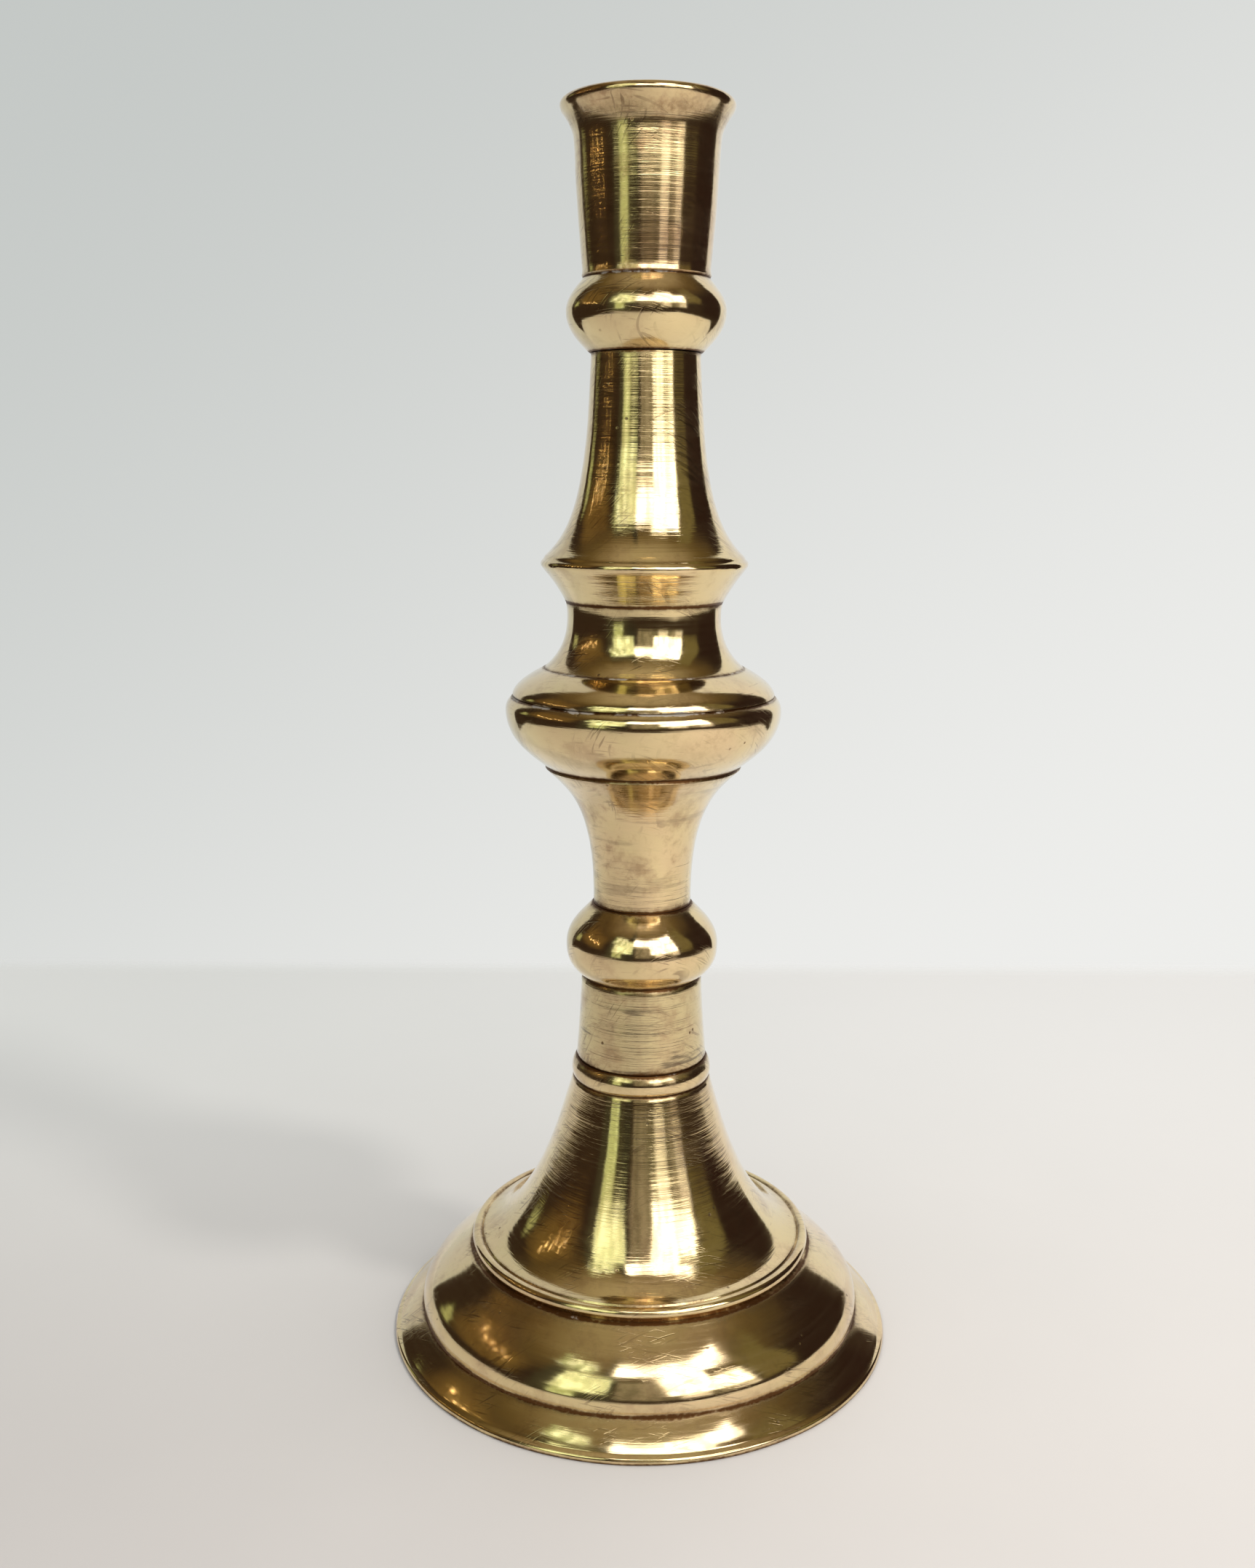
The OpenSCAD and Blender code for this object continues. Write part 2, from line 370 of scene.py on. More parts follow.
@dataclass(frozen=True)
class SteelFinish:
    """Plain zinc-plated steel of the fixings under the foot."""

    bright: Colour = (0.56, 0.55, 0.53)
    dull: Colour = (0.33, 0.31, 0.28)
    rust: Colour = (0.23, 0.11, 0.05)

    def build(self) -> bpy.types.Material:
        """Makes the material.

        Returns:
            A mottled steel material.
        """
        made = bpy.data.materials.new("plated_steel")
        made.use_nodes = True
        s = Sheet(made.node_tree)
        shader = made.node_tree.nodes["Principled BSDF"]
        at = s.add("ShaderNodeTexCoord").outputs["Object"]
        cloud = s.grain(at, 140.0, 5.0, 0.65)
        spots = s.smooth(s.grain(at, 420.0, 4.0, 0.6), 0.6, 0.72)
        metal = s.mix(s.smooth(cloud, 0.35, 0.7), self.bright, self.dull)
        s.feed(shader.inputs["Base Color"], s.mix(s.times(spots, 0.7), metal, self.rust))
        shader.inputs["Metallic"].default_value = 1.0
        s.feed(shader.inputs["Roughness"], s.total(s.times(cloud, 0.35), 0.27))
        grit = s.grain(at, 900.0, 4.0, 0.6)
        bump = s.add("ShaderNodeBump", Strength=0.4, Distance=0.00006, Height=grit)
        s.feed(shader.inputs["Normal"], bump.outputs["Normal"])
        return made


# ---------------------------------------------------------------- turned brass


@dataclass(frozen=True)
class Crease:
    """A place on the outline where dirt gathers or where shade is painted, in millimetres."""

    r: float
    z: float
    width: float
    patina_and_shade: float
    residue: float = 0.0


@dataclass
class TurnedPiece:
    """A brass section turned about the candlestick's axis."""

    node: ClassVar[str] = ""
    state: ClassVar[Brass] = Brass.POLISHED
    creases: Sequence[Crease] = field(default_factory=list)
    steps: int = 192
    ripple: float = 0.03
    swell: float = 0.12
    hole: float = 4.3

    def inside(self) -> list[Point]:
        """Hidden part of the outline, before the shown one."""
        raise NotImplementedError

    def shown(self) -> list[Point]:
        """Visible part of the outline, upwards."""
        raise NotImplementedError

    def after(self) -> list[Point]:
        """Hidden part of the outline, after the shown one."""
        raise NotImplementedError

    def build(self, made: dict[Brass, bpy.types.Material]) -> bpy.types.Object:
        """Turns the piece, dresses it and puts it in place of its CAD node.

        Args:
            made: Material of each state of the brass.

        Returns:
            The finished object.
        """
        shown = self._spread(self.shown())
        before, after = self.inside(), self.after()
        outline = [*before, *shown, *after]
        kept = [p for i, p in enumerate(outline) if math.dist(p, outline[i - 1]) > 1e-4]
        bm = bmesh.new()
        depth = bm.verts.layers.float.new("shown")
        verts = []
        for p in kept:
            v = bm.verts.new((p[0] * MM, 0, p[1] * MM))
            v[depth] = 1.0 if p in shown else 0.0
            verts.append(v)
        edges = [bm.edges.new((verts[i - 1], v)) for i, v in enumerate(verts)]
        bmesh.ops.spin(
            bm,
            geom=[*verts, *edges],
            cent=(0, 0, 0),
            axis=(0, 0, 1),
            dvec=(0, 0, 0),
            angle=TURN,
            steps=self.steps,
            use_merge=True,
            use_duplicate=False,
        )
        bmesh.ops.remove_doubles(bm, verts=bm.verts, dist=2e-7)
        bmesh.ops.recalc_face_normals(bm, faces=bm.faces)
        self._dirt_and_shade(bm, depth)
        self._hand_worn(bm, depth)
        for f in bm.faces:
            f.smooth = True
        for e in bm.edges:
            e.smooth = e.calc_face_angle(0.0) < math.radians(32)
        piece = finished(bm, f"{self.node}_turned", made[self.state])
        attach(piece, Body.STICK.value)
        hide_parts(self.node)
        LOG.info("%s: %d faces", piece.name, len(piece.data.polygons))
        return piece

    @staticmethod
    def _spread(points: list[Point], gap: float = 0.9) -> list[Point]:
        """Adds points on stretches longer than gap."""
        out = [points[0]]
        for a, b in zip(points, points[1:]):
            if math.dist(a, b) > 1e-4:
                out += line(a, b, max(1, math.ceil(math.dist(a, b) / gap)))[1:]
        return out

    def _dirt_and_shade(self, bm: bmesh.types.BMesh, depth: object) -> None:
        """Writes how much patina, painted shade and polish residue each point holds."""
        patina_and_shade = bm.verts.layers.float.new("patina_and_shade")
        residue = bm.verts.layers.float.new("residue")
        for v in bm.verts:
            r, z = math.hypot(v.co.x, v.co.y) / MM, v.co.z / MM
            if v[depth] < 0.5 or r < 11.7:
                v[patina_and_shade] = 0.6
                continue
            sway = 1 + 0.8 * noise.noise(v.co * 150)
            for c in self.creases:
                far = math.hypot(r - c.r, z - c.z) / (c.width * sway)
                near = math.exp(-(far**2))
                # wider halo of darkening around each crease; under the lower knop it is painted
                # shade
                stain_and_shade = 0.42 * math.exp(-((far / 3.4) ** 2))
                v[patina_and_shade] = max(v[patina_and_shade], c.patina_and_shade * near, c.patina_and_shade * stain_and_shade)
                v[residue] = max(v[residue], c.residue * near ** 0.8)

    def _hand_worn(self, bm: bmesh.types.BMesh, depth: object) -> None:
        """Moves the shown surface a little, as turning and hand polishing leave it."""
        bm.normal_update()
        for v in bm.verts:
            if v[depth] < 0.5:
                continue
            p = v.co / MM
            rings = noise.noise(Vector((p.x * 0.025, p.y * 0.025, p.z * 0.36 + 9)))
            rings += 0.5 * noise.noise(Vector((p.x * 0.05, p.y * 0.05, p.z * 0.8 + 31)))
            soft = noise.noise(Vector((p.x * 0.055, p.y * 0.055, p.z * 0.07 + 3)))
            soft += 0.13 * noise.noise(Vector((p.x * 0.2, p.y * 0.2, p.z * 0.24 + 17)))
            v.co += v.normal * MM * (self.ripple * rings + self.swell * soft)


def finished(bm: bmesh.types.BMesh, name: str, material: bpy.types.Material) -> bpy.types.Object:
    """Puts a bmesh into the scene.

    Args:
        bm: The mesh, in place; it is freed.
        name: Name of the object.
        material: Its material.

    Returns:
        The new object, at the origin.
    """
    mesh = bpy.data.meshes.new(name)
    bm.to_mesh(mesh)
    bm.free()
    mesh.materials.append(material)
    made = bpy.data.objects.new(name, mesh)
    bpy.context.scene.collection.objects.link(made)
    return made


@dataclass
class CandleCup(TurnedPiece):
    """Candle cup with a flared lip."""

    node: ClassVar[str] = "socket"
    state: ClassVar[Brass] = Brass.STAINED
    foot: float = 261.6
    rim: float = 300.0
    wall: float = 16.6
    lip: float = 19.9
    lip_r: float = 1.4
    bore: float = 11.6

    def inside(self) -> list[Point]:
        """Recess under the cup."""
        return [(9.05, self.foot)]

    def shown(self) -> list[Point]:
        """Wall, lip, throat and bore."""
        foot, rim, wall = self.foot, self.rim, self.wall
        return [
            (14.6, foot),
            (15, foot + 0.5),
            *curve((14.85, foot + 1.7), (15.2, foot + 7.1), (16, foot + 13.8), (wall, rim - 11)),
            *curve(
                (wall + 0.15, rim - 9),
                (wall + 0.3, rim - 7.2),
                (wall + 0.7, rim - 5.2),
                (self.lip - 0.4, rim - 2.6),
            ),
            *arc((self.lip - self.lip_r, rim - self.lip_r), self.lip_r, -18, 180, 14),
            *curve((16.2, rim - 3), (14.4, rim - 6), (self.bore, rim - 6.5), (self.bore, 290), 12),
            (self.bore, 270),
        ]

    def after(self) -> list[Point]:
        """Floor of the cup and its tapped hole."""
        return [(4.05, 270), (4.05, self.foot + 2.1), (9.05, self.foot + 2.1)]


@dataclass
class UpperKnop(TurnedPiece):
    """Rounded knop under the cup."""

    node: ClassVar[str] = "upper_knop"
    low: float = 245.2
    top: float = 261.6
    wide: float = 18.6

    def inside(self) -> list[Point]:
        """Spigot into the stem."""
        return spigot(self.low, 8, self.hole)

    def shown(self) -> list[Point]:
        """Round side."""
        low, top, wide = self.low, self.top, self.wide
        mid = low + 9.1
        return [
            *curve((13.2, low), (17.6, low + 3.8), (wide, mid - 2.6), (wide, mid)),
            *curve((wide, mid + 0.4), (wide - 0.3, mid + 3.4), (15.9, top - 1.7), (14.7, top)),
        ]

    def after(self) -> list[Point]:
        """Spigot into the cup."""
        return [(9, self.top), (9, self.top + 2), (self.hole, self.top + 2)]


@dataclass
class UpperStem(TurnedPiece):
    """Slim stem over a thin flange."""

    node: ClassVar[str] = "upper_stem"
    state: ClassVar[Brass] = Brass.TURNED
    low: float = 187.7
    top: float = 245.2
    flange: float = 24.8
    slim: float = 12.75

    def inside(self) -> list[Point]:
        """Spigot into the waist."""
        return spigot(self.low, 12, 9.5)

    def shown(self) -> list[Point]:
        """Undercut, flange edge and swept stem."""
        low, edge, wide, slim = self.low, self.low + 9, self.flange, self.slim
        return [
            *curve((18.9, low), (20.2, low + 2.5), (22.3, low + 5.5), (wide - 0.8, edge - 1.5)),
            *arc((wide - 1.2, edge), 1.2, -45, 60, 8),
            *curve(
                (wide - 1.1, edge + 1.9),
                (slim + 2.95, edge + 9),
                (slim + 1.15, edge + 21.7),
                (slim, self.top - 0.3),
                48,
            ),
        ]

    def after(self) -> list[Point]:
        """Recess under the knop and the cored middle."""
        return [*recess(self.top, 8, self.hole), (self.hole, self.low + 32), (9.5, self.low + 16)]


@dataclass
class Waist(TurnedPiece):
    """Concave collar under the flange."""

    node: ClassVar[str] = "waist"
    low: float = 171.9
    top: float = 187.7

    def inside(self) -> list[Point]:
        """Spigot into the bulb's cap."""
        return spigot(self.low, 16, 9.5)

    def shown(self) -> list[Point]:
        """Concave side."""
        low, top = self.low, self.top
        return curve((24.1, low), (18.6, low + 4.4), (17.9, top - 5.2), (18.8, top), 28)

    def after(self) -> list[Point]:
        """Recess under the stem."""
        return recess(self.top, 12, 9.5)


@dataclass
class BulbCap(TurnedPiece):
    """Domed cap of the bulb."""

    node: ClassVar[str] = "bulb_cap"
    low: float = 165.1
    top: float = 171.9

    def inside(self) -> list[Point]:
        """Ring that centres the cap in the bulb."""
        low = self.low
        return [(self.hole, low), (20, low), (20, low - 2.5), (24, low - 2.5), (24, low)]

    def shown(self) -> list[Point]:
        """Dome."""
        low, top = self.low, self.top
        dome = curve((31.7, low + 0.4), (31.5, low + 2.1), (29.2, top - 2.5), (24.1, top), 20)
        return [(31.3, low), *dome]

    def after(self) -> list[Point]:
        """Recess under the waist."""
        return recess(self.top, 16, self.hole)


@dataclass
class Bulb(TurnedPiece):
    """Fat rounded disc."""

    node: ClassVar[str] = "bulb"
    low: float = 148.4
    top: float = 165.1
    wide: float = 33.4

    def inside(self) -> list[Point]:
        """Spigot into the trumpet."""
        return spigot(self.low, 14, self.hole)

    def shown(self) -> list[Point]:
        """Round side."""
        low, top, wide = self.low, self.top, self.wide
        return [
            *curve((24.1, low), (28.1, low + 3.2), (wide - 0.5, low + 6.2), (wide, top - 3.9), 28),
            *curve((wide, top - 3.2), (wide, top - 1.5), (wide - 1, top - 0.6), (31.7, top), 12),
        ]

    def after(self) -> list[Point]:
        """Hollow under the cap."""
        floor = self.low + 4.2
        return [(24.05, self.top), (24.05, self.top - 7), (16, floor), (self.hole, floor)]


@dataclass
class Trumpet(TurnedPiece):
    """Flared column under the bulb."""

    node: ClassVar[str] = "trumpet"
    state: ClassVar[Brass] = Brass.BRUSHED
    low: float = 113.2
    top: float = 148.4
    slim: float = 12.1

    def inside(self) -> list[Point]:
        """Spigot into the lower knop."""
        return spigot(self.low, 8, self.hole)

    def shown(self) -> list[Point]:
        """Column and flare."""
        slim, top = self.slim, self.top
        flare = curve((slim, self.low), (slim, top - 10.4), (17.6, top - 7.1), (24, top - 0.8), 48)
        return [*flare, (23.8, top)]

    def after(self) -> list[Point]:
        """Recess under the bulb and the cored throat."""
        top = self.top
        throat = [(12, top - 5.4), (8, top - 16.4), (self.hole, top - 20.4)]
        return [(14.05, top), (14.05, top - 2.1), *throat]


@dataclass
class LowerKnop(TurnedPiece):
    """Rounded knop over the neck."""

    node: ClassVar[str] = "lower_knop"
    low: float = 94.7
    top: float = 113.2
    wide: float = 18.9

    def inside(self) -> list[Point]:
        """Spigot into the neck."""
        return spigot(self.low, 9, self.hole)

    def shown(self) -> list[Point]:
        """Round side."""
        low, top, wide = self.low, self.top, self.wide
        mid = low + 7.4
        return [
            *curve((14.6, low), (17.6, low + 1.9), (wide, mid - 3.1), (wide, mid)),
            *curve((wide, mid + 0.4), (wide, mid + 4.9), (15.9, top - 3.8), (12.3, top)),
        ]

    def after(self) -> list[Point]:
        """Recess under the trumpet."""
        return recess(self.top, 8, self.hole)


@dataclass
class Neck(TurnedPiece):
    """Slightly tapered cylinder."""

    node: ClassVar[str] = "neck"
    state: ClassVar[Brass] = Brass.DULL
    ripple: float = 0.06
    low: float = 73.0
    top: float = 94.7

    def inside(self) -> list[Point]:
        """Spigot into the bead."""
        return spigot(self.low, 10, self.hole)

    def shown(self) -> list[Point]:
        """Tapered side with a small foot and a small top chamfer."""
        low, top = self.low, self.top
        return [(15.9, low), (16.3, low + 0.8), (15.4, low + 13.5), (15.05, top - 1), (14.5, top)]

    def after(self) -> list[Point]:
        """Recess under the knop."""
        return recess(self.top, 9, self.hole)


@dataclass
class NeckBead(TurnedPiece):
    """Narrow band between neck and bell."""

    node: ClassVar[str] = "neck_bead"
    low: float = 67.8
    top: float = 73.0

    def inside(self) -> list[Point]:
        """Spigot into the bell."""
        return spigot(self.low, 11, self.hole)

    def shown(self) -> list[Point]:
        """Rounded band."""
        low, top = self.low, self.top
        return curve((17, low), (17.9, low + 1.2), (17.8, top - 1.6), (16.4, top), 12)

    def after(self) -> list[Point]:
        """Recess under the neck."""
        return recess(self.top, 10, self.hole)


@dataclass
class Bell(TurnedPiece):
    """Tall concave cone that ends in a bead."""

    node: ClassVar[str] = "bell"
    state: ClassVar[Brass] = Brass.TURNED
    low: float = 23.0
    top: float = 67.8
    bead: float = 43.4
    hollow: float = 35.4

    def inside(self) -> list[Point]:
        """Face that sits on the foot."""
        return [(38.95, self.low)]

    def shown(self) -> list[Point]:
        """Bead and cone."""
        low, top = self.low, self.top
        return [
            (self.bead - 0.8, low),
            *arc((self.bead - 1.4, low + 1.7), 1.4, -50, 140, 14),
            *curve((40.6, low + 3), (30.4, low + 6), (23.2, top - 22.2), (17.5, top - 0.6), 56),
            (17.1, top),
        ]

    def after(self) -> list[Point]:
        """Recess, hollow and the lip inside the foot."""
        low, top = self.low, self.top
        return [
            *recess(top, 11, self.hole),
            *curve(
                (self.hole, top - 8.8),
                (15.5, top - 10.8),
                (19.5, low + 13),
                (self.hollow, low + 1.6),
                14,
            ),
            (self.hollow, low - 4.5),
            (38.95, low - 4.5),
        ]


@dataclass
class Foot(TurnedPiece):
    """Heavy ring: rounded moulding, groove, sloping rim and thin edge."""

    node: ClassVar[str] = "foot"
    wide: float = 63.7
    groove: float = 56.3
    top: float = 23.0
    tread: float = 58.5

    def inside(self) -> list[Point]:
        """Tread that stands on the table."""
        return [(self.tread, 0)]

    def shown(self) -> list[Point]:
        """Edge, rim, groove and moulding."""
        wide, top = self.wide, self.top
        return [
            (wide - 0.2, 0),
            *arc((wide - 1.1, 0.6), 1.1, -20, 60, 8),
            *curve((wide - 1.1, 1.7), (wide - 3.3, 3.9), (58, 5.6), (self.groove, 6.8), 14),
            *curve((self.groove - 0.1, 7.7), (57.4, 13), (49.6, top - 4.8), (44.2, top - 0.5), 40),
            (43.2, top),
        ]

    def after(self) -> list[Point]:
        """Seat of the bell, ledge and hollow."""
        return [
            (39, self.top),
            (39, 17.5),
            (46.6, 17.5),
            *curve((46.6, 16.9), (50, 15.8), (51.6, 12.6), (51.8, 8), 10),
            (54.6, 4.6),
            (self.tread, 2.4),
        ]


# ---------------------------------------------------------------- fixings


@dataclass
class Fixings:
    """Steel rod, plate, washer and nut, which keep their CAD shapes."""

    nodes: Sequence[str] = ("tie_rod", "clamp_plate", "washer", "nut")

    def dress(self, steel: bpy.types.Material) -> None:
        """Gives each CAD node the steel finish.

        Args:
            steel: Finish of the fixings.
        """
        for name in self.nodes:
            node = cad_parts[name]
            node.data.materials.clear()
            node.data.materials.append(steel)
            LOG.info("%s: CAD shape in steel", name)


# ---------------------------------------------------------------- studio


@dataclass(frozen=True)
class Glow:
    """An upright curved screen that only reflections see."""

    name: str
    side: tuple[float, float]
    height: tuple[float, float]
    colour: Colour
    second: Colour
    mottle: float
    radius: float
    soft: tuple[float, float]
    grain: tuple[float, float, float]

    def build(self) -> bpy.types.Object:
        """Makes the screen.

        Returns:
            The stage object.
        """
        bm = bmesh.new()
        start = math.radians(self.side[0])
        at = (self.radius * math.sin(start), -self.radius * math.cos(start))
        low = bm.verts.new((*at, self.height[0]))
        high = bm.verts.new((*at, self.height[1]))
        edge = bm.edges.new((low, high))
        bmesh.ops.spin(
            bm,
            geom=[low, high, edge],
            cent=(0, 0, 0),
            axis=(0, 0, 1),
            dvec=(0, 0, 0),
            angle=math.radians(self.side[1] - self.side[0]),
            steps=24,
            use_duplicate=False,
        )
        made = finished(bm, self.name, self._material())
        unseen(made)
        return made

    def _material(self) -> bpy.types.Material:
        """Glow with soft edges and a mottled pattern."""
        made, s = bare_material(self.name)
        at = s.add("ShaderNodeTexCoord").outputs["Object"]
        split = s.add("ShaderNodeSeparateXYZ", Vector=at)
        x, y, rise = (split.outputs[k] for k in "XYZ")
        side = s.times(s.math("ARCTAN2", x, s.times(y, -1.0)), DEGREES)
        wavy = s.math("SUBTRACT", s.grain(at, 30.0, 3.0), 0.5)
        side = s.total(side, s.times(wavy, 6.0))
        wide, tall = self.side[1] - self.side[0], self.height[1] - self.height[0]
        cover = s.times(
            s.band(side, self.side, self.soft[0] * wide),
            s.band(rise, self.height, self.soft[1] * tall),
        )
        spots = s.smooth(s.grain(s.stretched(at, self.grain), 1.0, 3.0), 0.42, 0.58)
        colour = s.mix(s.times(spots, self.mottle), self.colour, self.second)
        glow = s.add("ShaderNodeEmission", Color=colour)
        clear = s.add("ShaderNodeBsdfTransparent")
        both = s.add("ShaderNodeMixShader", Fac=cover)
        s.feed(both.inputs[1], clear.outputs[0])
        s.feed(both.inputs[2], glow.outputs[0])
        s.feed(made.node_tree.nodes["Material Output"].inputs["Surface"], both.outputs[0])
        return made


def bare_material(name: str) -> tuple[bpy.types.Material, Sheet]:
    """Makes a material that has only an output node.

    Args:
        name: Name of the material.

    Returns:
        The material and the sheet for its nodes.
    """
    made = bpy.data.materials.new(name)
    made.use_nodes = True
    made.node_tree.nodes.remove(made.node_tree.nodes["Principled BSDF"])
    return made, Sheet(made.node_tree)


def unseen(made: bpy.types.Object) -> None:
    """Marks a stage object that only reflections show."""
    made.visible_camera = False
    made.visible_diffuse = False
    made.visible_shadow = False
    made.visible_transmission = False


@dataclass(frozen=True)
class RoomPatch:
    """Part of the room by direction: side and rise in degrees, with edges this soft."""

    side: tuple[float, float]
    rise: tuple[float, float]
    colour: Colour
    soft: tuple[float, float] = (6.0, 6.0)


@dataclass
class Studio:
    """Floor, backdrop, lights and camera."""

    floor_size: tuple[float, float, float] = (0.75, 0.75, 0.284)
    floor_fade: float = 0.012
    floor_past: float = 0.03
    floor_z: float = -0.00002
    floor_far: float = 6.0
    board_half: float = 0.363
    board_high: float = 0.95
    board_gap: float = 0.013
    board_low: float = 0.05
    lamps: Sequence[tuple[float, float]] = (
        (-74, 0.40),
        (-79, 0.435),
        (-83, 0.385),
        (-88, 0.42),
        (-93, 0.40),
        (-99, 0.43),
    )
    lamp_far: float = 0.65
    lamp_size: float = 0.007
    key_side: float = 57.0
    key_rise: float = 52.0
    key_power: float = 2.6
    eye: tuple[float, float, float] = (-0.0038, -0.3653, 0.2186)
    tilt: float = 11.71
    roll: float = 0.29
    lens: float = 34.83

    def build(self) -> None:
        """Makes the whole set."""
        self._floor()
        self._board()
        self._glows()
        self._bulbs()
        self._room()
        self._key()
        self._camera()

    def _floor(self) -> None:
        """Pale matt table top with painted shading, darker to the left and front and lighter to
        the right, that fades out at its back edge.
        """
        half, front, back = self.floor_size
        end = back + self.floor_past
        bm = bmesh.new()
        bmesh.ops.create_grid(bm, x_segments=4, y_segments=4, size=1.0)
        bmesh.ops.scale(bm, vec=(half, (front + end) / 2, 1), verts=bm.verts)
        bmesh.ops.translate(bm, vec=(0, (end - front) / 2, self.floor_z), verts=bm.verts)
        made = bpy.data.materials.new("pale_table")
        made.use_nodes = True
        s = Sheet(made.node_tree)
        shader = made.node_tree.nodes["Principled BSDF"]
        at = s.add("ShaderNodeTexCoord").outputs["Object"]
        place = s.add("ShaderNodeSeparateXYZ", Vector=at)
        across, deep = place.outputs["X"], place.outputs["Y"]
        # painted shading: the table's colour is darker to the left and at the front and lighter to
        # the right, where the light comes from
        clouds = s.times(s.math("SUBTRACT", s.grain(at, 5.0, 4.0, 0.55), 0.5), 0.25)
        right = s.smooth(s.total(across, clouds), -0.24, 0.24)
        near = s.mix(right, (0.575, 0.545, 0.52), (0.755, 0.715, 0.68))
        far = s.mix(right, (0.675, 0.685, 0.665), (0.765, 0.755, 0.735))
        colour = s.mix(s.smooth(deep, -0.15, 0.25), near, far)
        s.feed(shader.inputs["Base Color"], colour)
        shader.inputs["Roughness"].default_value = 0.62
        shader.inputs["Specular IOR Level"].default_value = 0.25
        clear = s.add("ShaderNodeBsdfTransparent")
        fade = s.smooth(deep, back + self.floor_fade, back - self.floor_fade)
        both = s.add("ShaderNodeMixShader", Fac=fade)
        s.feed(both.inputs[1], clear.outputs[0])
        s.feed(both.inputs[2], shader.outputs[0])
        s.feed(made.node_tree.nodes["Material Output"].inputs["Surface"], both.outputs[0])
        table = finished(bm, "table", made)
        self._ground(made)

    def _ground(self, pale: bpy.types.Material) -> None:
        """Same pale floor further out, which reflections don't show."""
        half, front, back = self.floor_size
        end, far = back + self.floor_past, self.floor_far
        bm = bmesh.new()
        for left, right, near, deep in (
            (-far, -half, -far, end),
            (half, far, -far, end),
            (-half, half, -far, -front),
        ):
            strip = bmesh.ops.create_grid(bm, x_segments=1, y_segments=1, size=0.5)["verts"]
            bmesh.ops.scale(bm, vec=(right - left, deep - near, 1), verts=strip)
            middle = ((left + right) / 2, (near + deep) / 2, self.floor_z)
            bmesh.ops.translate(bm, vec=middle, verts=strip)
        made = finished(bm, "ground", pale)
        made.visible_glossy = False
        made.visible_shadow = False

    def _board(self) -> None:
        """Upright pale board behind the candlestick, for reflections."""
        bm = bmesh.new()
        half_high = self.board_high / 2
        upright = Matrix.Rotation(math.radians(90), 3, "X")
        middle = (0, self.floor_size[2] + self.board_gap, half_high - self.board_low)
        bmesh.ops.create_grid(bm, x_segments=1, y_segments=1, size=1.0)
        bmesh.ops.rotate(bm, cent=(0, 0, 0), matrix=upright, verts=bm.verts)
        bmesh.ops.scale(bm, vec=(self.board_half, 1, half_high + self.board_low), verts=bm.verts)
        bmesh.ops.translate(bm, vec=middle, verts=bm.verts)
        made, s = bare_material("pale_board")
        at = s.add("ShaderNodeTexCoord").outputs["Object"]
        across = s.add("ShaderNodeSeparateXYZ", Vector=at).outputs["X"]
        colour = s.mix(s.smooth(across, -0.3, 0.3), (0.58, 0.60, 0.58), (0.83, 0.83, 0.81))
        glow = s.add("ShaderNodeEmission", Color=colour)
        s.feed(made.node_tree.nodes["Material Output"].inputs["Surface"], glow.outputs[0])
        unseen(finished(bm, "board", made))

    def _glows(self) -> None:
        """Windows and the things before them, as reflections show them."""
        white, warm = (4.2, 4.2, 4.1), (1.2, 1.1, 0.9)
        near, far = 0.29, 1.25
        for glow in (
            Glow(
                "window_high",
                side=(-16, 58),
                height=(0.325, 0.48),
                colour=(4.6, 4.6, 4.6),
                second=(1.6, 1.55, 1.45),
                mottle=0.75,
                radius=near,
                soft=(0.04, 0.14),
                grain=(34, 34, 7),
            ),
            Glow(
                "window_mid",
                side=(12, 58),
                height=(0.47, 1.1),
                colour=white,
                second=warm,
                mottle=0.65,
                radius=far,
                soft=(0.06, 0.05),
                grain=(9, 9, 2),
            ),
            Glow(
                "window_top",
                side=(10, 42),
                height=(1.05, 1.7),
                colour=white,
                second=warm,
                mottle=0.65,
                radius=far,
                soft=(0.1, 0.05),
                grain=(9, 9, 2),
            ),
            Glow(
                "window_low_left",
                side=(19, 35),
                height=(0.2, 0.5),
                colour=(1.25, 1.2, 1.12),
                second=(0.7, 0.64, 0.52),
                mottle=0.6,
                radius=far,
                soft=(0.12, 0.08),
                grain=(6, 6, 4),
            ),
            Glow(
                "window_low_right",
                side=(45, 58),
                height=(0.2, 0.5),
                colour=(1.0, 0.95, 0.88),
                second=(0.5, 0.46, 0.36),
                mottle=0.6,
                radius=far,
                soft=(0.12, 0.08),
                grain=(6, 6, 4),
            ),
            Glow(
                "figure",
                side=(-13, 60),
                height=(0.15, 1.3),
                colour=(0.19, 0.175, 0.12),
                second=(0.40, 0.36, 0.28),
                mottle=0.8,
                radius=1.3,
                soft=(0.08, 0.1),
                grain=(7, 7, 2),
            ),
            Glow(
                "garden_high",
                side=(-54, -26),
                height=(0.325, 0.45),
                colour=(1.8, 2.0, 1.6),
                second=(0.24, 0.30, 0.10),
                mottle=0.9,
                radius=near,
                soft=(0.12, 0.12),
                grain=(36, 36, 18),
            ),
            Glow(
                "garden_mid",
                side=(-48, -15),
                height=(0.45, 1.4),
                colour=(1.6, 1.8, 1.35),
                second=(0.5, 0.58, 0.28),
                mottle=0.6,
                radius=1.2,
                soft=(0.08, 0.06),
                grain=(10, 10, 3),
            ),
            Glow(
                "garden_low",
                side=(-46, -31),
                height=(0.10, 0.48),
                colour=(0.85, 1.0, 0.62),
                second=(0.36, 0.42, 0.16),
                mottle=0.7,
                radius=1.2,
                soft=(0.12, 0.08),
                grain=(8, 8, 4),
            ),
        ):
            glow.build()

